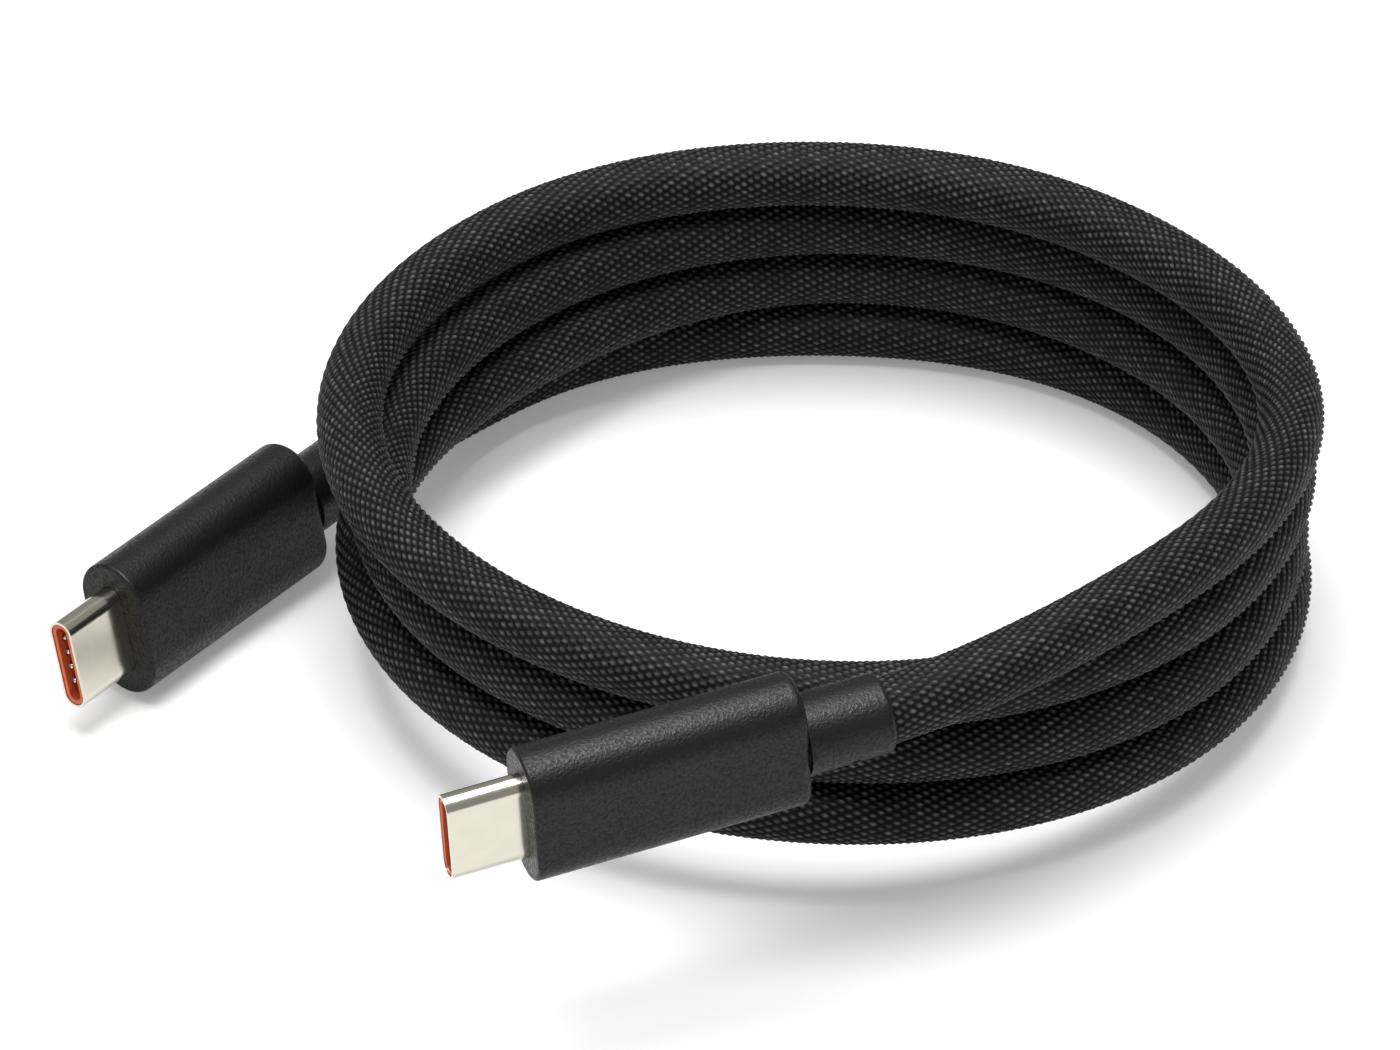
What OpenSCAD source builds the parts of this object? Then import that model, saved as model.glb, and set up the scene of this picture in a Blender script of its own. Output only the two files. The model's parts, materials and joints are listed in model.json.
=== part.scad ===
// Braided charging cable with a USB Type-C plug on each end, coiled on a table.
// Millimetres, +Z up. The table is z = 0 and the origin lies on it, midway between the two plugs.
// Each plug is modelled in its own frame: +X is the way it is pushed in, Y is its width,
// Z is its thickness, and x = 0 is the front face of its moulded boot.

/* [Cord] */
// Diameter of the braided cord
cord_d = 5.7; // [4.5:0.1:5.8]
// Number of sides of a cord solid
cord_sides = 12; // [8:1:16]

/* [Coil] */
// Height gained by each turn of the coil
turn_rise = 5.9; // [5.6:0.1:6.2]
// Bearing at which a turn starts to climb on to the one below
climb_from = 125; // [110:5:150]
// Bearing at which the climb ends
climb_to = 315; // [300:5:340]
// Inner radius of the wound coil
coil_inner_r = 34; // [33:0.5:35]
// Outer radius of the wound coil
coil_outer_r = 43; // [42:0.5:44]

/* [Shell] */
// Width of the plug's metal shell
shell_w = 8.25; // [8.2:0.05:8.3]
// Thickness of the plug's metal shell
shell_t = 2.4; // [2.35:0.05:2.45]
// Length of shell that stands out of the boot
shell_out = 6.65; // [6.2:0.05:6.7]
// Length of shell hidden inside the boot
shell_in = 4; // [3:0.5:4]
// Wall of the drawn shell
shell_wall = 0.22; // [0.15:0.01:0.25]

/* [Insulator] */
// Width of the mouth that takes the other connector's tongue
mouth_w = 7; // [6.8:0.1:7]
// Height of the mouth
mouth_h = 1.2; // [1:0.1:1.2]
// How far the insulator stands back from the shell's rim
rim_set_back = 0.1; // [0.05:0.05:0.2]

/* [Contacts] */
// Contacts in each row
contact_count = 12; // [10:1:12]
// Spacing of the contacts
contact_pitch = 0.5; // [0.45:0.05:0.5]
// Width of one contact
contact_w = 0.25; // [0.15:0.05:0.3]

/* [Boot] */
// Width of the moulded boot
boot_w = 12.4; // [12:0.1:13]
// Thickness of the moulded boot
boot_t = 6.6; // [6.5:0.1:7]
// Length of the moulded boot
boot_len = 24; // [23.5:0.5:26]
// Rounding of the boot's front edge
front_round = 0.3; // [0.2:0.1:0.5]
// Rounding of the boot's rear edge
rear_round = 0.7; // [0.4:0.1:1]

/* [Strain relief] */
// Diameter of the round collar behind the boot
collar_d = 6.8; // [6.6:0.1:7]
// Length of the collar
collar_len = 7.5; // [7:0.5:9]

/* [Hidden] */
$fn = 48;

// Where the coil's centre stands, and where and how each plug lies.
coil_centre = [29.9, 23.5, 0];
// Plug A leans on the table on its narrow edge, and plug B is held up by the coil's top turn.
plug_a_at = [-30.2, 10.6, 6.75];
plug_a_heading = 53;
plug_a_dip = -1.5;
plug_a_lean = 13.6;
plug_b_at = [5.2, -33.9, 21.1];
plug_b_heading = 21.2;
plug_b_dip = 3.4;
plug_b_lean = -0.4;

// Radius of each turn at eight bearings: west, north-west, north and on round, clockwise.
turn_radii = [
    [40.5, 40.5, 38.5, 40.5, 40, 40, 39.8, 39.8],
    [39, 35.7, 38.3, 39.5, 39.5, 40, 39, 39],
    [38, 37, 37.5, 39.5, 40, 39.5, 39.5, 39.5],
    [40.5, 38.5, 36.5, 37.8, 40.4, 40.2, 43, 44]
];
coil_from = 48;
coil_to = 1296;

// Route of the cord from the collar of plug A, under the coil, to the start of its first turn,
// relative to the coil's centre.
lead_a_route = [
    [-43, 9.8, 6], [-41.2, 12.3, 5.9], [-39.6, 14.5, 5.6], [-38, 16.8, 5], [-36.4, 19.2, 4.3],
    [-34.7, 21.6, 3.6], [-32.9, 24, 3.2], [-30.9, 26.3, 2.9]
];
// Route of the cord from the coil's last turn to the collar of plug B.
lead_b_route = [
    [28.5, -28.2, 23.6], [25.1, -31.8, 23.8], [21.7, -35.1, 23.9], [18.1, -38.1, 23.9],
    [14.6, -40.7, 23.7], [11.1, -42.9, 23.5], [7.8, -44.7, 23.2], [4.6, -46, 23], [1.8, -47.1, 22.8]
];

cord_r = cord_d / 2;
small = 0.03;

// Inside the plug, along its own X.
shell_front = shell_out;
insulator_front = shell_out - rim_set_back;
insulator_back = -3;
insulator_w = shell_w - 2 * shell_wall - 2 * small;
insulator_t = shell_t - 2 * shell_wall - 2 * small;
pocket_h = 1.7;
row_w = contact_count * contact_pitch;
spring_x = [5.25, 6.05];
spring_dimples = [-2.1, -0.7, 0.7, 2.1];
mouth_back = 0.2;
wafer_back = -4.9;
card_front = -4.95;
card_back = -14;
card_w = 8.6;
card_t = 0.7;
can_front = -4.3;
can_back = -15.2;
can_w = 9.4;
can_h = 4.4;
can_wall = 0.2;
wires_r = 2.05;
core_d = 4.4;
core_front = -17;
crimp_front = -17.6;
crimp_len = 3;
cord_depth = 3;
collar_end = -boot_len - collar_len;

// Latch arms at the sides of the mouth.
arm_in = 3.4;
arm_thick = 0.2;
arm_h = 0.3;
arm_front = 5.3;
arm_root = -2.2;

function contact_y(i) = (i - (contact_count - 1) / 2) * contact_pitch;

// A slot-shaped outline, width w along X and height h along Y, with round ends.
module slot_outline(w, h) {
    square([w - h, h], center = true);
    for (side = [-1, 1]) translate([side * (w - h) / 2, 0]) circle(d = h);
}

// A bar along the plug's X with the slot outline, from x = from to x = to.
module slot_bar(w, h, from, to) {
    translate([from, 0, 0]) rotate([90, 0, 90]) linear_extrude(to - from) slot_outline(w, h);
}

// A plate given by its two opposite corners.
module block(low, high) {
    translate(low) cube(high - low);
}

// An outline drawn in X and Z, made thick along Y about y = at.
module side_plate(outline, at, thick) {
    translate([0, at + thick / 2, 0]) rotate([90, 0, 0]) linear_extrude(thick) polygon(outline);
}

// ---------------------------------------------------------------- pieces of one plug

module shell() {
    color([0.78, 0.76, 0.71]) difference() {
        slot_bar(shell_w, shell_t, -shell_in, shell_front);
        slot_bar(shell_w - 2 * shell_wall, shell_t - 2 * shell_wall, -shell_in - 1, shell_front + 1);
    }
}

module insulator() {
    color([0.85, 0.25, 0.1]) difference() {
        slot_bar(insulator_w, insulator_t, insulator_back, insulator_front);
        // the mouth
        slot_bar(mouth_w, mouth_h, mouth_back, insulator_front + 1);
        // the pockets that the contacts lie and bend in
        block([insulator_back - 1, -row_w / 2, -pocket_h / 2], [4.95, row_w / 2, pocket_h / 2]);
        // the side slots that the latch arms lie in
        block([insulator_back - 1, -insulator_w / 2 - 1, -arm_h], [arm_front + 0.2, insulator_w / 2 + 1, arm_h]);
        // the seats and windows of the ground springs
        for (side = [-1, 1]) {
            block([spring_x[0] - 0.15, -3, side * insulator_t / 2 - 0.14],
                  [spring_x[1] + 0.1, 3, side * insulator_t / 2 + 0.14]);
            for (y = spring_dimples)
                translate([(spring_x[0] + spring_x[1]) / 2, y, 0]) cylinder(h = 2, r = 0.34, center = true);
        }
    }
}

module mid_plate() {
    color([0.7, 0.7, 0.72]) union() {
        block([-3.9, -arm_in - arm_thick - 0.15, -0.075],
              [arm_root - 0.15, arm_in + arm_thick + 0.15, 0.075]);
        block([arm_root - 0.2, -2.6, -0.075], [mouth_back - 0.1, 2.6, 0.075]);
    }
}

// One latch arm: a blade beside the mouth with a hook that looks inward near its tip.
module latch(side) {
    mirror([0, side < 0 ? 1 : 0, 0]) color([0.75, 0.75, 0.77]) union() {
        translate([0, 0, -arm_h / 2]) linear_extrude(arm_h) polygon([
            [arm_root, arm_in], [4.3, arm_in], [4.6, arm_in - 0.28], [4.9, arm_in - 0.28],
            [arm_front, arm_in + 0.05], [arm_front, arm_in + arm_thick],
            [arm_root, arm_in + arm_thick]]);
        translate([arm_root, arm_in + arm_thick / 2, -arm_h / 2]) cylinder(h = arm_h, d = arm_thick);
    }
}

// One row of contacts: each is a bent strip from its soldered tail to its contact point.
module contact_row(side) {
    mirror([0, 0, side < 0 ? 1 : 0]) color([0.85, 0.68, 0.3])
        for (i = [0 : contact_count - 1])
            side_plate([
                [-5.95, 0.4], [-5.1, 0.4], [-4.6, 0.58], [0.8, 0.58], [3.5, 0.25], [3.9, 0.2],
                [4.3, 0.27], [4.7, 0.45], [4.7, 0.55], [4.25, 0.39], [3.9, 0.32], [3.5, 0.37],
                [0.8, 0.7], [-4.7, 0.7], [-5.15, 0.52], [-5.95, 0.52]],
                contact_y(i), contact_w);
}

// The wafer holds the roots of one row, in channels just wider than the contacts.
module wafer(side) {
    mirror([0, 0, side < 0 ? 1 : 0]) color([0.12, 0.12, 0.13]) difference() {
        block([wafer_back, -3.3, 0.1], [insulator_back - 0.05, 3.3, 0.92]);
        for (i = [0 : contact_count - 1])
            block([wafer_back - 1, contact_y(i) - contact_w / 2 - small, 0.34],
                  [insulator_back + 1, contact_y(i) + contact_w / 2 + small, 0.84]);
    }
}

// A thin spring plate outside the insulator, whose dimples look into the mouth.
module ground_spring(side) {
    mirror([0, 0, side < 0 ? 1 : 0]) color([0.8, 0.8, 0.82]) union() {
        block([spring_x[0], -2.9, insulator_t / 2 - 0.11], [spring_x[1], 2.9, insulator_t / 2 - 0.01]);
        for (y = spring_dimples)
            translate([(spring_x[0] + spring_x[1]) / 2, y, 0.62]) {
                translate([0, 0, -0.08]) sphere(r = 0.24);
                cylinder(h = insulator_t / 2 - 0.7, r = 0.24);
            }
    }
}

module paddle_card() {
    pad = 0.02;
    color([0.08, 0.3, 0.16]) union() {
        block([card_back, -card_w / 2, -card_t / 2], [card_front, card_w / 2, card_t / 2]);
        for (side = [-1, 1]) for (i = [0 : contact_count - 1])
            block([-6.3, contact_y(i) - 0.15, side > 0 ? card_t / 2 : -card_t / 2 - pad],
                  [card_front, contact_y(i) + 0.15, side > 0 ? card_t / 2 + pad : -card_t / 2]);
    }
}

module marker_chip() {
    z = card_t / 2 + small;
    color([0.1, 0.1, 0.1]) union() {
        block([-9.6, -1.25, z + 0.05], [-7.1, 1.25, z + 0.7]);
        for (side = [-1, 1]) for (x = [-9.2 : 0.5 : -7.4])
            block([x, side * 1.3 - 0.1, z], [x + 0.25, side * 1.3 + 0.1, z + 0.15]);
    }
}

// Small capacitors and resistors, two on each side of the chip and three below the card.
module passives() {
    top = [[-7.4, 2.4], [-9, 2.4], [-7.4, -2.9], [-9, -2.9]];
    below = [[-8, 1.8], [-8, 0], [-8, -1.8]];
    color([0.55, 0.45, 0.35]) {
        for (p = top)
            block([p[0] - 0.5, p[1], card_t / 2 + small], [p[0] + 0.5, p[1] + 0.5, card_t / 2 + 0.55]);
        for (p = below)
            block([p[0] - 0.5, p[1] - 0.25, -card_t / 2 - 0.55], [p[0] + 0.5, p[1] + 0.25, -card_t / 2 - small]);
    }
}

// Half of the can that shields the card: a tray with a mouth for the shell and one for the wires.
module shield_can(side) {
    mirror([0, 0, side < 0 ? 1 : 0]) color([0.7, 0.7, 0.7]) difference() {
        block([can_back, -can_w / 2, small], [can_front, can_w / 2, can_h / 2]);
        block([can_back + can_wall, -can_w / 2 + can_wall, -1],
              [can_front - can_wall, can_w / 2 - can_wall, can_h / 2 - can_wall]);
        slot_bar(shell_w, 2.3, can_front - 1, can_front + 1);
        translate([can_back - 1, 0, 0]) rotate([0, 90, 0]) cylinder(h = 2, r = wires_r);
    }
}

// The ring pressed over the cable's screen and inner jacket.
module crimp_ring() {
    color([0.72, 0.55, 0.35]) translate([crimp_front - crimp_len, 0, 0]) rotate([0, 90, 0]) difference() {
        cylinder(h = crimp_len, d = core_d + 0.7);
        translate([0, 0, -1]) cylinder(h = crimp_len + 2, d = core_d + 2 * small);
    }
}

power_y = 0.85;
power_z = 1.06;
power_d = 1.3;
ground_y = 0.75;
ground_z = 0.91;
ground_d = 1;
data_y = 1.55;
data_z = 0.7;
signal_d = 0.5;
config_z = 0.63;
wire_front = -11.5;

module wire(y, z, d) {
    translate([core_front, y, z]) rotate([0, 90, 0]) cylinder(h = wire_front - core_front, d = d, $fn = 24);
}

module power_wires() {
    color([0.7, 0.1, 0.1]) for (side = [-1, 1]) wire(side * power_y, power_z, power_d);
}

module ground_wires() {
    color([0.15, 0.15, 0.15]) for (side = [-1, 1]) wire(side * ground_y, -ground_z, ground_d);
}

module signal_wires() {
    color([0.85, 0.85, 0.8]) {
        wire(0, config_z, signal_d);
        for (side = [-1, 1]) wire(side * data_y, -data_z, signal_d);
    }
}

// The block moulded over the soldered wires, behind the card.
module inner_mould() {
    gap = 2 * small;
    color([0.85, 0.85, 0.8]) difference() {
        block([can_back + can_wall + small, -4, -1.95], [card_back - small, 4, 1.95]);
        for (side = [-1, 1]) {
            wire(side * power_y, power_z, power_d + gap);
            wire(side * ground_y, -ground_z, ground_d + gap);
            wire(side * data_y, -data_z, signal_d + gap);
        }
        wire(0, config_z, signal_d + gap);
    }
}

// The cable's inner jacket, from the crimp to where the braided cord starts in the collar.
module cable_core() {
    color([0.2, 0.2, 0.2]) translate([collar_end + cord_depth, 0, 0]) rotate([0, 90, 0])
        cylinder(h = core_front - collar_end - cord_depth, d = core_d);
}

// Half of the boot's lengthwise outline, as pairs of distance out and distance back,
// with its two edges rounded.
boot_edge_steps = 6;
boot_outline = concat(
    [[0, 0]],
    [for (i = [0 : boot_edge_steps]) let (a = 90 * i / boot_edge_steps)
        [boot_t / 2 - front_round + front_round * sin(a), front_round - front_round * cos(a)]],
    [for (i = [0 : boot_edge_steps]) let (a = 90 * i / boot_edge_steps)
        [boot_t / 2 - rear_round + rear_round * cos(a), boot_len - rear_round + rear_round * sin(a)]],
    [[0, boot_len]]);

// The boot's outside: a flat middle between two round sides, all with the same rounded edges.
module boot_body() {
    side_y = (boot_w - boot_t) / 2;
    for (side = [-1, 1]) {
        translate([0, side * side_y, 0]) rotate([0, -90, 0]) rotate_extrude() polygon(boot_outline);
        side_plate([for (p = boot_outline) [-p[1], side * p[0]]], 0, 2 * side_y);
    }
}

neck_d = 5.9;
neck_front = -boot_len + 3.2;

module boot() {
    color([0.09, 0.09, 0.09]) difference() {
        boot_body();
        // the shell's seat, the can's space, the way out for the cable and the collar's seat
        slot_bar(shell_w + 2 * small, shell_t + 2 * small, can_front - 1, 1);
        block([can_back - small, -can_w / 2 - small, -can_h / 2 - small],
              [can_front + small, can_w / 2 + small, can_h / 2 + small]);
        translate([-boot_len - 1, 0, 0]) rotate([0, 90, 0])
            cylinder(h = boot_len + 1 + can_back, d = core_d + 0.9);
        translate([-boot_len - 1, 0, 0]) rotate([0, 90, 0])
            cylinder(h = neck_front + boot_len + 1 + small, d = neck_d + 2 * small);
    }
}

// The round collar, with a neck held inside the boot and a bore for the braided cord.
module strain_relief() {
    edge = 0.4;
    steps = 6;
    r = collar_d / 2;
    outline = concat(
        [[core_d / 2 + 2 * small, -collar_end - cord_depth], [core_d / 2 + 2 * small, -neck_front],
         [neck_d / 2, -neck_front], [neck_d / 2, boot_len + small], [r, boot_len + small]],
        [for (i = [0 : steps]) let (a = 90 * i / steps)
            [r - edge + edge * cos(a), -collar_end - edge + edge * sin(a)]],
        [[cord_r + 2 * small, -collar_end], [cord_r + 2 * small, -collar_end - cord_depth]]);
    color([0.1, 0.1, 0.1]) difference() {
        rotate([0, -90, 0]) rotate_extrude() polygon(outline);
        // the moulding gate's mark
        rotate([-35, 0, 0]) translate([-boot_len - 4, 0, -r - 0.4]) cylinder(h = 0.48, d = 0.7, $fn = 24);
    }
}

// ---------------------------------------------------------------- the cord

// A smooth step from 0 to 1.
function ease(t) = let (u = min(max(t, 0), 1)) u * u * (3 - 2 * u);

// Radius at station k, counting eight stations to a turn.
function station_r(k) = turn_radii[floor(min(max(k, 0), 31) / 8)][min(max(k, 0), 31) % 8];

// Radius of the winding at angle a, by a smooth curve through the stations.
function winding_r(a) =
    let (k = floor(a / 45), t = a / 45 - k,
         p = station_r(k - 1), q = station_r(k), r = station_r(k + 1), s = station_r(k + 2))
    q + t * (r - p) / 2 + t * t * (2 * p - 5 * q + 4 * r - s) / 2 + t * t * t * (3 * q - p - 3 * r + s) / 2;

// Height of the winding at angle a: each turn lies level, then climbs on to the one below.
function winding_z(a) =
    cord_r + turn_rise * (floor(a / 360) + ease((a % 360 - climb_from) / (climb_to - climb_from)));

// Point on the winding at angle a, clockwise from the west.
function winding(a) = [-winding_r(a) * cos(a), winding_r(a) * sin(a), winding_z(a)];

function unit(v) = v / norm(v);

// One ring of points round the route at point i.
function route_ring(route, i, r) =
    let (ahead = unit(route[min(i + 1, len(route) - 1)] - route[max(i - 1, 0)]),
         side = unit(cross([0, 0, 1], ahead)), up = cross(ahead, side))
    [for (k = [0 : cord_sides - 1]) let (a = 360 * k / cord_sides)
        route[i] + r * (cos(a) * side + sin(a) * up)];

// A round tube swept along a route.
module tube(route, r) {
    last = len(route) - 1;
    points = [for (i = [0 : last]) each route_ring(route, i, r)];
    walls = [for (i = [0 : last - 1]) for (k = [0 : cord_sides - 1])
        let (n = (k + 1) % cord_sides)
        [i * cord_sides + k, (i + 1) * cord_sides + k, (i + 1) * cord_sides + n, i * cord_sides + n]];
    start = [for (k = [0 : cord_sides - 1]) k];
    finish = [for (k = [cord_sides - 1 : -1 : 0]) last * cord_sides + k];
    polyhedron(points = points, faces = concat([start], walls, [finish]), convexity = 4);
}

module cord_lead_a() {
    color([0.07, 0.07, 0.07]) translate(coil_centre)
        tube(concat(lead_a_route, [winding(coil_from)]), cord_r - 0.05);
}

module cord_lead_b() {
    color([0.07, 0.07, 0.07]) translate(coil_centre)
        tube(concat([winding(coil_to)], lead_b_route), cord_r - 0.05);
}

// The outer shape of the wound coil, with a way in for plug A's collar and lead.
module cord_coil() {
    top = winding_z(coil_to) + cord_r;
    round_r = cord_r;
    color([0.07, 0.07, 0.07]) difference() {
        translate(coil_centre) rotate_extrude($fn = 96) union() {
            translate([coil_inner_r, round_r]) square([coil_outer_r - coil_inner_r, top - 2 * round_r]);
            translate([coil_inner_r + round_r, 0]) square([coil_outer_r - coil_inner_r - 2 * round_r, top]);
            for (x = [coil_inner_r + round_r, coil_outer_r - round_r]) for (z = [round_r, top - round_r])
                translate([x, z]) circle(r = round_r);
        }
        on_plug_a() block([collar_end - 6, -4, -4], [-boot_len + 4, 4, 4]);
    }
}

// ---------------------------------------------------------------- placing the plugs

module on_plug_a() {
    translate(plug_a_at) rotate([0, 0, 180 + plug_a_heading]) rotate([0, plug_a_dip, 0])
        rotate([90 + plug_a_lean, 0, 0]) children();
}

module on_plug_b() {
    translate(plug_b_at) rotate([0, 0, 180 + plug_b_heading]) rotate([0, plug_b_dip, 0])
        rotate([90 + plug_b_lean, 0, 0]) children();
}

cord_lead_a();
cord_coil();
cord_lead_b();

on_plug_a() shell();  // shell_a
on_plug_a() insulator();  // insulator_a
on_plug_a() mid_plate();  // mid_plate_a
on_plug_a() latch(1);  // latch_left_a
on_plug_a() latch(-1);  // latch_right_a
on_plug_a() contact_row(1);  // contacts_upper_a
on_plug_a() contact_row(-1);  // contacts_lower_a
on_plug_a() wafer(1);  // wafer_upper_a
on_plug_a() wafer(-1);  // wafer_lower_a
on_plug_a() ground_spring(1);  // ground_spring_upper_a
on_plug_a() ground_spring(-1);  // ground_spring_lower_a
on_plug_a() paddle_card();  // paddle_card_a
on_plug_a() marker_chip();  // marker_chip_a
on_plug_a() passives();  // passives_a
on_plug_a() shield_can(1);  // shield_can_upper_a
on_plug_a() shield_can(-1);  // shield_can_lower_a
on_plug_a() crimp_ring();  // crimp_ring_a
on_plug_a() inner_mould();  // inner_mould_a
on_plug_a() power_wires();  // power_wires_a
on_plug_a() ground_wires();  // ground_wires_a
on_plug_a() signal_wires();  // signal_wires_a
on_plug_a() cable_core();  // cable_core_a
on_plug_a() boot();  // boot_a
on_plug_a() strain_relief();  // strain_relief_a

on_plug_b() shell();  // shell_b
on_plug_b() insulator();  // insulator_b
on_plug_b() mid_plate();  // mid_plate_b
on_plug_b() latch(1);  // latch_left_b
on_plug_b() latch(-1);  // latch_right_b
on_plug_b() contact_row(1);  // contacts_upper_b
on_plug_b() contact_row(-1);  // contacts_lower_b
on_plug_b() wafer(1);  // wafer_upper_b
on_plug_b() wafer(-1);  // wafer_lower_b
on_plug_b() ground_spring(1);  // ground_spring_upper_b
on_plug_b() ground_spring(-1);  // ground_spring_lower_b
on_plug_b() paddle_card();  // paddle_card_b
on_plug_b() marker_chip();  // marker_chip_b
on_plug_b() passives();  // passives_b
on_plug_b() shield_can(1);  // shield_can_upper_b
on_plug_b() shield_can(-1);  // shield_can_lower_b
on_plug_b() crimp_ring();  // crimp_ring_b
on_plug_b() inner_mould();  // inner_mould_b
on_plug_b() power_wires();  // power_wires_b
on_plug_b() ground_wires();  // ground_wires_b
on_plug_b() signal_wires();  // signal_wires_b
on_plug_b() cable_core();  // cable_core_b
on_plug_b() boot();  // boot_b
on_plug_b() strain_relief();  // strain_relief_b
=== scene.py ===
import json
from math import cos, pi, radians, sin

import bpy
import numpy as np
from mathutils import Matrix, Vector


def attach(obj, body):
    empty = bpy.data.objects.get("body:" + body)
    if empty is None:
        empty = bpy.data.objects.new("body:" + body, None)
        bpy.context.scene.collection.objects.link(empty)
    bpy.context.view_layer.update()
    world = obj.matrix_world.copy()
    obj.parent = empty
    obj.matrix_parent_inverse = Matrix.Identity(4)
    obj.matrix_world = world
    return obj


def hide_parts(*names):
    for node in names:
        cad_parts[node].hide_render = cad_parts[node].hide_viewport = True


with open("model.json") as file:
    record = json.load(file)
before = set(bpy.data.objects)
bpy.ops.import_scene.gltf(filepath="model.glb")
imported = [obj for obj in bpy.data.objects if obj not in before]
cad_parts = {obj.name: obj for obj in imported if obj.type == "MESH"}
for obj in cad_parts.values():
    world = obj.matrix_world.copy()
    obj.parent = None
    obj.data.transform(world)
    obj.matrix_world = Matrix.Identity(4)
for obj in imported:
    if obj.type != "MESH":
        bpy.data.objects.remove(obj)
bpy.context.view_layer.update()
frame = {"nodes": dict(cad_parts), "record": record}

MM = 0.001
SEED = 7
rng = np.random.default_rng(SEED)

# ---------------------------------------------------------------- the part's places, as in part.scad

COIL_CENTRE = np.array([29.9, 23.5, 0.0]) * MM
CORD_D = 5.7 * MM
TURN_RISE = 5.9 * MM
CLIMB_FROM, CLIMB_TO = 125, 315  # degrees of each turn between which it climbs
STATION_ANGLE = 45             # degrees between the stations at which a turn's radius is given
TURN_RADII = np.array([
    [40.5, 40.5, 38.5, 40.5, 40, 40, 39.8, 39.8],
    [39, 35.7, 38.3, 39.5, 39.5, 40, 39, 39],
    [38, 37, 37.5, 39.5, 40, 39.5, 39.5, 39.5],
    [40.5, 38.5, 36.5, 37.8, 40.4, 40.2, 43, 44],
]) * MM
COIL_FROM, COIL_TO, COIL_STEP = 48, 1296, 4  # degrees along the winding
LEAD_A_ROUTE = np.array([
    [-43, 9.8, 6], [-41.2, 12.3, 5.9], [-39.6, 14.5, 5.6], [-38, 16.8, 5], [-36.4, 19.2, 4.3],
    [-34.7, 21.6, 3.6], [-32.9, 24, 3.2], [-30.9, 26.3, 2.9],
]) * MM
LEAD_B_ROUTE = np.array([
    [28.5, -28.2, 23.6], [25.1, -31.8, 23.8], [21.7, -35.1, 23.9], [18.1, -38.1, 23.9],
    [14.6, -40.7, 23.7], [11.1, -42.9, 23.5], [7.8, -44.7, 23.2], [4.6, -46, 23], [1.8, -47.1, 22.8],
]) * MM


# ---------------------------------------------------------------- small helpers

def linked(name, data):
    """A new object in the scene that holds a mesh, a light or a camera."""
    obj = bpy.data.objects.new(name, data)
    bpy.context.scene.collection.objects.link(obj)
    return obj


def dress(obj, material):
    """Puts one material on every slot of an object."""
    if not obj.material_slots:
        obj.data.materials.append(material)
    for slot in obj.material_slots:
        slot.material = material


class Nodes:
    """A short way to write a node material."""

    def __init__(self, name):
        self.material = bpy.data.materials.new(name)
        self.material.use_nodes = True
        self.tree = self.material.node_tree
        self.shader = self.tree.nodes["Principled BSDF"]

    def add(self, kind, settings=None, **inputs):
        node = self.tree.nodes.new(kind)
        for key, value in (settings or {}).items():
            setattr(node, key, value)
        for key, value in inputs.items():
            self.put(node, key.replace("_", " "), value)
        return node

    def put(self, node, key, value):
        socket = node.inputs[int(key) if key.isdigit() else key]
        if isinstance(value, bpy.types.NodeSocket):
            self.tree.links.new(value, socket)
        else:
            socket.default_value = value

    def set(self, **inputs):
        for key, value in inputs.items():
            self.put(self.shader, key.replace("_", " "), value)

    def math(self, operation, a, b=0.0):
        node = self.add("ShaderNodeMath", {"operation": operation})
        self.put(node, "0", a)
        self.put(node, "1", b)
        return node.outputs[0]

    def ramp(self, value, stops):
        """A colour ramp of (position, grey or colour) stops."""
        node = self.add("ShaderNodeValToRGB", Fac=value)
        elements = node.color_ramp.elements
        while len(elements) < len(stops):
            elements.new(0.5)
        for element, (position, colour) in zip(elements, stops):
            element.position = position
            element.color = (*colour, 1) if isinstance(colour, tuple) else (colour, colour, colour, 1)
        return node.outputs["Color"]

    def noise(self, vector, scale, detail=2.0, roughness=0.5):
        node = self.add("ShaderNodeTexNoise", Vector=vector, Scale=scale, Detail=detail, Roughness=roughness)
        return node.outputs["Fac"]

    def place(self, scale=(1, 1, 1)):
        """The object's own coordinates in metres, stretched by scale."""
        coordinates = self.add("ShaderNodeTexCoord").outputs["Object"]
        return self.add("ShaderNodeMapping", Vector=coordinates, Scale=scale).outputs["Vector"]

    def bump(self, height, distance, strength=1.0):
        node = self.add("ShaderNodeBump", Height=height, Distance=distance, Strength=strength)
        return node.outputs["Normal"]


# ---------------------------------------------------------------- camera

VIEW_ELEVATION = radians(36)
VIEW_DISTANCE = 0.85
FOCAL_IN_SENSOR_WIDTHS = 6.982
SENSOR_WIDTH = 36
AIM_FROM_COIL_CENTRE = Vector((-10.31, 4.0, 5.52)) * MM
aim = Vector(COIL_CENTRE) + AIM_FROM_COIL_CENTRE
camera_data = bpy.data.cameras.new("camera")
camera_data.sensor_width = SENSOR_WIDTH
camera_data.lens = FOCAL_IN_SENSOR_WIDTHS * SENSOR_WIDTH
camera_data.clip_start = 0.05
camera_data.clip_end = 20
camera = linked("camera", camera_data)
camera.location = aim + Vector((0, -cos(VIEW_ELEVATION), sin(VIEW_ELEVATION))) * VIEW_DISTANCE
camera.rotation_euler = (pi / 2 - VIEW_ELEVATION, 0, 0)
bpy.context.scene.camera = camera


# ---------------------------------------------------------------- the cord's line

CURVE_STEPS = 24               # points worked out between two points of the route
LINE_SPACING = 0.5 * MM
SOFTEN_REACH = 8               # points each way over which the line's kinks are averaged out


def ease(t):
    """A smooth step from 0 to 1."""
    u = min(max(t, 0), 1)
    return u * u * (3 - 2 * u)


def station_r(k):
    """Radius at a station, counted along the whole winding."""
    return TURN_RADII.flat[min(max(k, 0), TURN_RADII.size - 1)]


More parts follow.
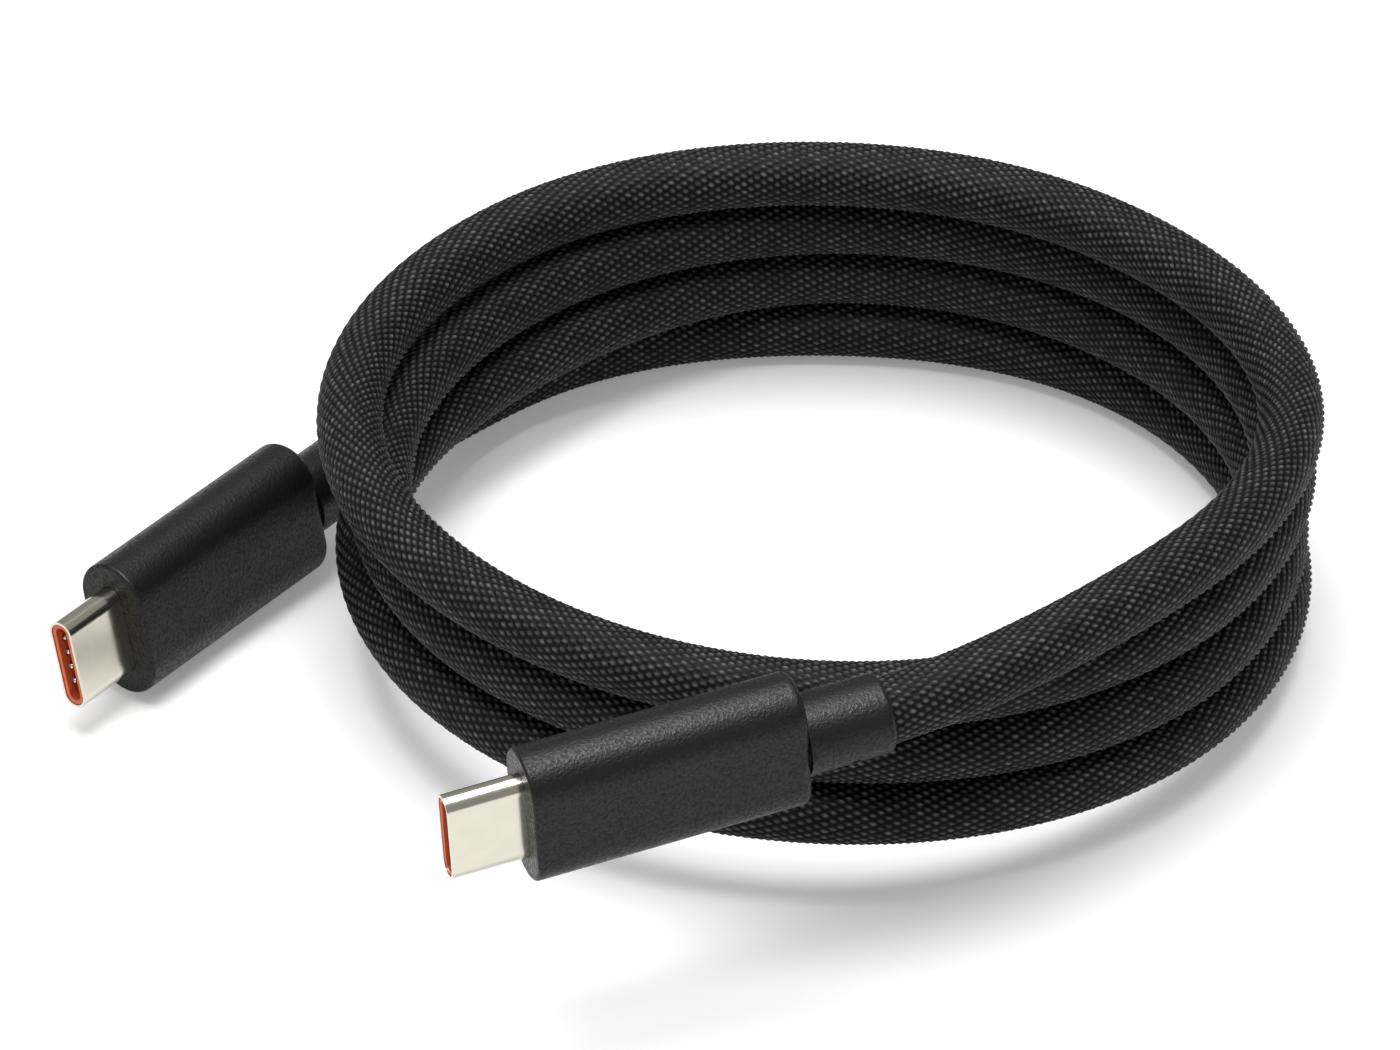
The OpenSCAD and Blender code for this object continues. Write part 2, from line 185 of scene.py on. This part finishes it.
def winding_r(angle):
    """Radius of the winding at an angle, by a smooth curve through the stations."""
    k = int(angle // STATION_ANGLE)
    t = angle / STATION_ANGLE - k
    p, q, r, s = (station_r(k + i) for i in (-1, 0, 1, 2))
    return (q + t * (r - p) / 2 + t * t * (2 * p - 5 * q + 4 * r - s) / 2
            + t ** 3 * (3 * q - p - 3 * r + s) / 2)


def winding(angle):
    """Point on the winding, clockwise from the west, relative to the coil's centre."""
    turn, part = divmod(angle, 360)
    height = CORD_D / 2 + TURN_RISE * (turn + ease((part - CLIMB_FROM) / (CLIMB_TO - CLIMB_FROM)))
    r = winding_r(angle)
    return np.array([-r * cos(radians(angle)), r * sin(radians(angle)), height])


def smooth_line(points, spacing):
    """A Catmull-Rom curve through the points, resampled at equal spacing."""
    padded = np.vstack([2 * points[0] - points[1], points, 2 * points[-1] - points[-2]])
    t = (np.arange(CURVE_STEPS) / CURVE_STEPS)[:, None]
    curve = []
    for a, b, c, d in zip(padded, padded[1:], padded[2:], padded[3:]):
        curve.append(b + t * (c - a) / 2 + t ** 2 * (2 * a - 5 * b + 4 * c - d) / 2
                     + t ** 3 * (3 * b - a - 3 * c + d) / 2)
    curve = np.vstack(curve + [points[-1:]])
    return resample(curve, spacing)


def resample(curve, spacing):
    """Points along the curve at equal steps of about the spacing."""
    lengths = np.concatenate([[0], np.cumsum(np.linalg.norm(np.diff(curve, axis=0), axis=1))])
    count = int(round(lengths[-1] / spacing)) + 1
    at = np.linspace(0, lengths[-1], count)
    return np.column_stack([np.interp(at, lengths, curve[:, i]) for i in range(3)])


def softened(line, reach):
    """The line with its small kinks averaged out over reach points each way, and its ends kept."""
    out = line.copy()
    for i in range(1, len(line) - 1):
        w = min(reach, i, len(line) - 1 - i)
        out[i] = line[i - w:i + w + 1].mean(axis=0)
    return out


coil_points = np.array([winding(a) for a in np.arange(COIL_FROM, COIL_TO + 1, COIL_STEP)])
route = np.vstack([LEAD_A_ROUTE, coil_points, LEAD_B_ROUTE]) + COIL_CENTRE
line = softened(smooth_line(route, LINE_SPACING), SOFTEN_REACH)
line = softened(line, SOFTEN_REACH)


# ---------------------------------------------------------------- the braid

YARNS = 24                     # yarns laid each way round the cord, over one and under one
CELL_STEPS = 4                 # mesh steps across one yarn
BRAID_PITCH = 30.0 * MM        # length in which one yarn goes once round
BRAID_R = 2.68 * MM            # radius at the bottom of the gaps between the yarns
FLOAT_HEIGHT = 0.2 * MM        # how far the middle of each float stands above the gaps
FLOAT_ROUNDNESS = 0.85         # lower is a fuller float with steeper sides
TWIST_LENGTH = 96 * MM         # length in which the whole braid is twisted once round
TONE_COUNT = 4096              # random tones shared out among the floats
TONE_SCATTER = (217, 119, 131)  # multipliers that keep neighbouring floats' tones apart
YARN_TONE_SHARE = 0.4          # how much of a float's tone comes from its yarn, and not from the float
FILAMENT_SHIFT = 0.37          # keeps the filament pattern of one way's yarns apart from the other way's


def carried_frames(path):
    """Two side directions at each point of the path, which turn as little as they can along it."""
    tangents = np.gradient(path, axis=0)
    tangents /= np.linalg.norm(tangents, axis=1)[:, None]
    sides = np.empty_like(path)
    side = np.cross(tangents[0], [0, 0, 1.0])
    for i, t in enumerate(tangents):
        side = side - t * side.dot(t)
        side /= np.linalg.norm(side)
        sides[i] = side
    return sides, np.cross(tangents, sides)


def braid_mesh(name, path_line):
    """The cord's braid as one sheet whose mesh runs along both ways of its yarns."""
    around = YARNS * CELL_STEPS
    row_gap = BRAID_PITCH / (2 * around)
    path = resample(path_line, row_gap)
    rows = len(path)
    sides, ups = carried_frames(path)
    column, row = np.meshgrid(np.arange(around), np.arange(rows))
    a = column / CELL_STEPS
    b = (column + row) / CELL_STEPS
    turn = 2 * pi * ((a + b) / (2 * YARNS) + row * row_gap / TWIST_LENGTH)

    # each float is a pillow, highest where its yarn crosses over the other way's
    height = (np.sin(pi * (a % 1)).clip(0) * np.sin(pi * (b % 1)).clip(0)) ** FLOAT_ROUNDNESS
    radius = BRAID_R + FLOAT_HEIGHT * height
    points = (path[:, None, :]
              + (radius * np.cos(turn))[..., None] * sides[:, None, :]
              + (radius * np.sin(turn))[..., None] * ups[:, None, :])

    # each face joins (i, k), (i+1, k-1), (i+1, k) and (i, k+1), so that it lies in one crossing
    i, k = np.meshgrid(np.arange(around), np.arange(1, rows - 1))
    i, k = i.ravel(), k.ravel()
    after = i + 1

    def index(col, r):
        # once round, the column after the last is column 0 of the same row
        return r * around + col % around

    corners = np.stack([index(i, k), index(after, k - 1), index(after, k), index(i, k + 1)], axis=1)
    steps_a = np.stack([i, after, after, i], axis=1) / CELL_STEPS
    steps_b = np.stack([i + k, after + k - 1, after + k, i + k + 1], axis=1) / CELL_STEPS

    cell_a = np.floor((i + 0.5) / CELL_STEPS)
    cell_b = np.floor((i + k + 0.5) / CELL_STEPS)
    a_on_top = (cell_a + cell_b) % 2 == 0
    across = np.where(a_on_top[:, None], steps_a - cell_a[:, None], steps_b - cell_b[:, None])
    along = np.where(a_on_top[:, None], steps_b, steps_a + FILAMENT_SHIFT)
    yarn = np.where(a_on_top, cell_a % YARNS, YARNS + cell_b % YARNS).astype(int)
    by_a, by_b, by_yarn = TONE_SCATTER
    scattered = (cell_a * by_a + cell_b * by_b + yarn * by_yarn).astype(int) % TONE_COUNT
    tones = rng.random(TONE_COUNT)
    tone = (1 - YARN_TONE_SHARE) * tones[scattered] + YARN_TONE_SHARE * tones[yarn]

    mesh = bpy.data.meshes.new(name)
    mesh.vertices.add(points.shape[0] * points.shape[1])
    mesh.vertices.foreach_set("co", points.astype(np.float32).ravel())
    mesh.loops.add(corners.size)
    mesh.loops.foreach_set("vertex_index", corners.astype(np.int32).ravel())
    mesh.polygons.add(len(corners))
    mesh.polygons.foreach_set("loop_start", np.arange(0, corners.size, 4, dtype=np.int32))
    uv = mesh.uv_layers.new(name="yarn")
    uv.uv.foreach_set("vector", np.stack([across, along], axis=2).astype(np.float32).ravel())
    shade = mesh.attributes.new("tone", "FLOAT", "FACE")
    shade.data.foreach_set("value", tone.astype(np.float32))
    proud = mesh.attributes.new("proud", "FLOAT", "POINT")
    proud.data.foreach_set("value", height.astype(np.float32).ravel())
    mesh.update(calc_edges=True)
    mesh.polygons.foreach_set("use_smooth", np.ones(len(corners), dtype=bool))
    return linked(name, mesh), path


def braid_material():
    """Black yarn: fine filaments along each float, slightly uneven in tone, with a low sheen, and painted
    shade in the gaps between the floats.
    """
    m = Nodes("braided_yarn")
    uv = m.add("ShaderNodeUVMap", {"uv_map": "yarn"}).outputs["UV"]
    tone = m.add("ShaderNodeAttribute", {"attribute_name": "tone"}).outputs["Fac"]
    # filaments are narrow across the yarn and long along it
    strands = m.add("ShaderNodeMapping", Vector=uv, Scale=(8, 1.2, 1)).outputs["Vector"]
    filament = m.noise(strands, 1.0, 3.0, 0.55)
    proud = m.add("ShaderNodeAttribute", {"attribute_name": "proud"}).outputs["Fac"]
    mixed = m.math("ADD", m.math("MULTIPLY", filament, 0.55), m.math("MULTIPLY", tone, 0.45))
    # painted shade and painted highlight: the colour darkens from each float's crest into the gaps between
    # the yarns, so only the crest stays bright as a painted glint
    painted_shade_and_glint = m.ramp(proud, [(0.25, 0.015), (0.65, 0.25), (1.0, 1.0)])
    colour = m.math("MULTIPLY", m.ramp(mixed, [(0.2, 0.03), (0.5, 0.09), (0.8, 0.22)]), painted_shade_and_glint)
    m.set(
        Base_Color=colour,
        Roughness=m.ramp(mixed, [(0.2, 0.6), (0.9, 0.45)]),
        Normal=m.bump(filament, 0.05 * MM, 1.0),
        Specular_IOR_Level=0.12,
    )
    return m.material


cord, cord_path = braid_mesh("braided_cord", line)
dress(cord, braid_material())
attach(cord, "cable")
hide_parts("cord_lead_a", "cord_coil", "cord_lead_b")


# ---------------------------------------------------------------- plug materials

def moulding_material():
    """Black moulded elastomer with a fine spark-eroded grain."""
    m = Nodes("black_moulding")
    place = m.place()
    grain = m.noise(place, 3800, 2.0, 0.6)
    cloud = m.noise(place, 220, 3.0, 0.6)
    m.set(
        Base_Color=m.ramp(m.math("ADD", m.math("MULTIPLY", grain, 0.85), m.math("MULTIPLY", cloud, 0.15)),
                          [(0.4, 0.001), (0.6, 0.011)]),
        Roughness=m.ramp(grain, [(0.4, 0.56), (0.6, 0.3)]),
        Normal=m.bump(grain, 0.06 * MM, 1.0),
        Specular_IOR_Level=0.24,
    )
    return m.material


def metal_material(name, colour, roughness, streak=(400, 9000, 9000)):
    """Plated or rolled metal with faint drawn lines and a slight cloud in its colour."""
    m = Nodes(name)
    lines = m.noise(m.place(streak), 1.0, 2.0, 0.6)
    cloud = m.noise(m.place(), 500, 2.0, 0.5)
    dark = tuple(c * 0.96 for c in colour)
    m.set(
        Base_Color=m.ramp(cloud, [(0.35, dark), (0.65, colour)]),
        Metallic=1.0,
        Roughness=m.ramp(lines, [(0.3, roughness * 0.85), (0.7, roughness * 1.15)]),
        Normal=m.bump(lines, 0.0006 * MM, 0.2),
    )
    return m.material


def plastic_material(name, colour, roughness, subsurface=0.0):
    """Moulded plastic with a slight mottle."""
    m = Nodes(name)
    mottle = m.noise(m.place(), 1500, 2.0, 0.5)
    dark = tuple(c * 0.82 for c in colour)
    m.set(
        Base_Color=m.ramp(mottle, [(0.35, dark), (0.65, colour)]),
        Roughness=m.ramp(mottle, [(0.3, roughness), (0.7, roughness * 1.2)]),
        Normal=m.bump(mottle, 0.01 * MM, 0.3),
        Subsurface_Weight=subsurface,
        Subsurface_Scale=0.4 * MM,
    )
    return m.material


MATERIALS = {
    "nickel": metal_material("nickel", (0.59, 0.565, 0.482), 0.17),
    "spring_steel": metal_material("spring_steel", (0.78, 0.78, 0.78), 0.22),
    "tinned_steel": metal_material("tinned_steel", (0.66, 0.66, 0.65), 0.4),
    "gold": metal_material("gold", (0.95, 0.72, 0.32), 0.25),
    "copper": metal_material("copper", (0.83, 0.48, 0.31), 0.35),
    "orange_plastic": plastic_material("orange_plastic", (0.62, 0.105, 0.025), 0.38),
    "black_nylon": plastic_material("black_nylon", (0.02, 0.02, 0.02), 0.5),
    "circuit_board": plastic_material("circuit_board", (0.01, 0.12, 0.04), 0.35),
    "chip_resin": plastic_material("chip_resin", (0.02, 0.02, 0.022), 0.55),
    "ceramic": plastic_material("ceramic", (0.38, 0.28, 0.18), 0.5),
    "white_mould": plastic_material("white_mould", (0.8, 0.79, 0.74), 0.5, 0.1),
    "red_wire": plastic_material("red_wire", (0.55, 0.02, 0.015), 0.4),
    "black_wire": plastic_material("black_wire", (0.02, 0.02, 0.02), 0.4),
    "white_wire": plastic_material("white_wire", (0.8, 0.79, 0.76), 0.4),
    "core_jacket": plastic_material("core_jacket", (0.025, 0.025, 0.025), 0.6),
    "black_moulding": moulding_material(),
}
slot_of = {s["node"]: s["material_slot"] for s in frame["record"]["subparts"]}
for node, obj in frame["nodes"].items():
    if slot_of[node] in MATERIALS:
        dress(obj, MATERIALS[slot_of[node]])


# ---------------------------------------------------------------- floor and light

def floor_material():
    """Matt white paper that glows a little, so that it stays near white in the shadows."""
    m = Nodes("studio_floor")
    m.set(Base_Color=(0.9, 0.9, 0.9, 1), Roughness=0.9, Specular_IOR_Level=0.1,
          Emission_Color=(1, 1, 1, 1), Emission_Strength=0.22)
    return m.material


FLOOR_HALF = 3.0
floor_mesh = bpy.data.meshes.new("floor")
floor_mesh.from_pydata([(x * FLOOR_HALF, y * FLOOR_HALF, 0) for x, y in ((-1, -1), (1, -1), (1, 1), (-1, 1))],
                       [], [(0, 1, 2, 3)])
floor = linked("floor", floor_mesh)
dress(floor, floor_material())


def softbox(name, place, target, size, power):
    """A rectangular lamp at a place, turned towards the target."""
    light = bpy.data.lights.new(name, "AREA")
    light.shape = "RECTANGLE"
    light.size, light.size_y = size
    light.energy = power
    obj = linked(name, light)
    obj.location = place
    obj.rotation_euler = (Vector(target) - Vector(place)).to_track_quat("-Z", "Y").to_euler()
    return obj


middle = (0.015, 0.01, 0.01)
softbox("overhead_softbox", (0.0, 0.15, 1.2), middle, (0.9, 0.9), 17)
# a small lamp that shows in gloss alone, for the highlights along the mouldings' top edges
softbox("gloss_lamp", (0.0, -0.3, 1.15), middle, (0.35, 0.35), 15).visible_diffuse = False
softbox("left_fill", (-1.2, -0.5, 0.6), middle, (0.8, 0.8), 1.5)

world = bpy.data.worlds.new("studio")
bpy.context.scene.world = world
world.use_nodes = True
background = world.node_tree.nodes["Background"]
background.inputs["Color"].default_value = (1, 1, 1, 1)
background.inputs["Strength"].default_value = 0.36
bpy.context.scene.view_settings.view_transform = "Standard"
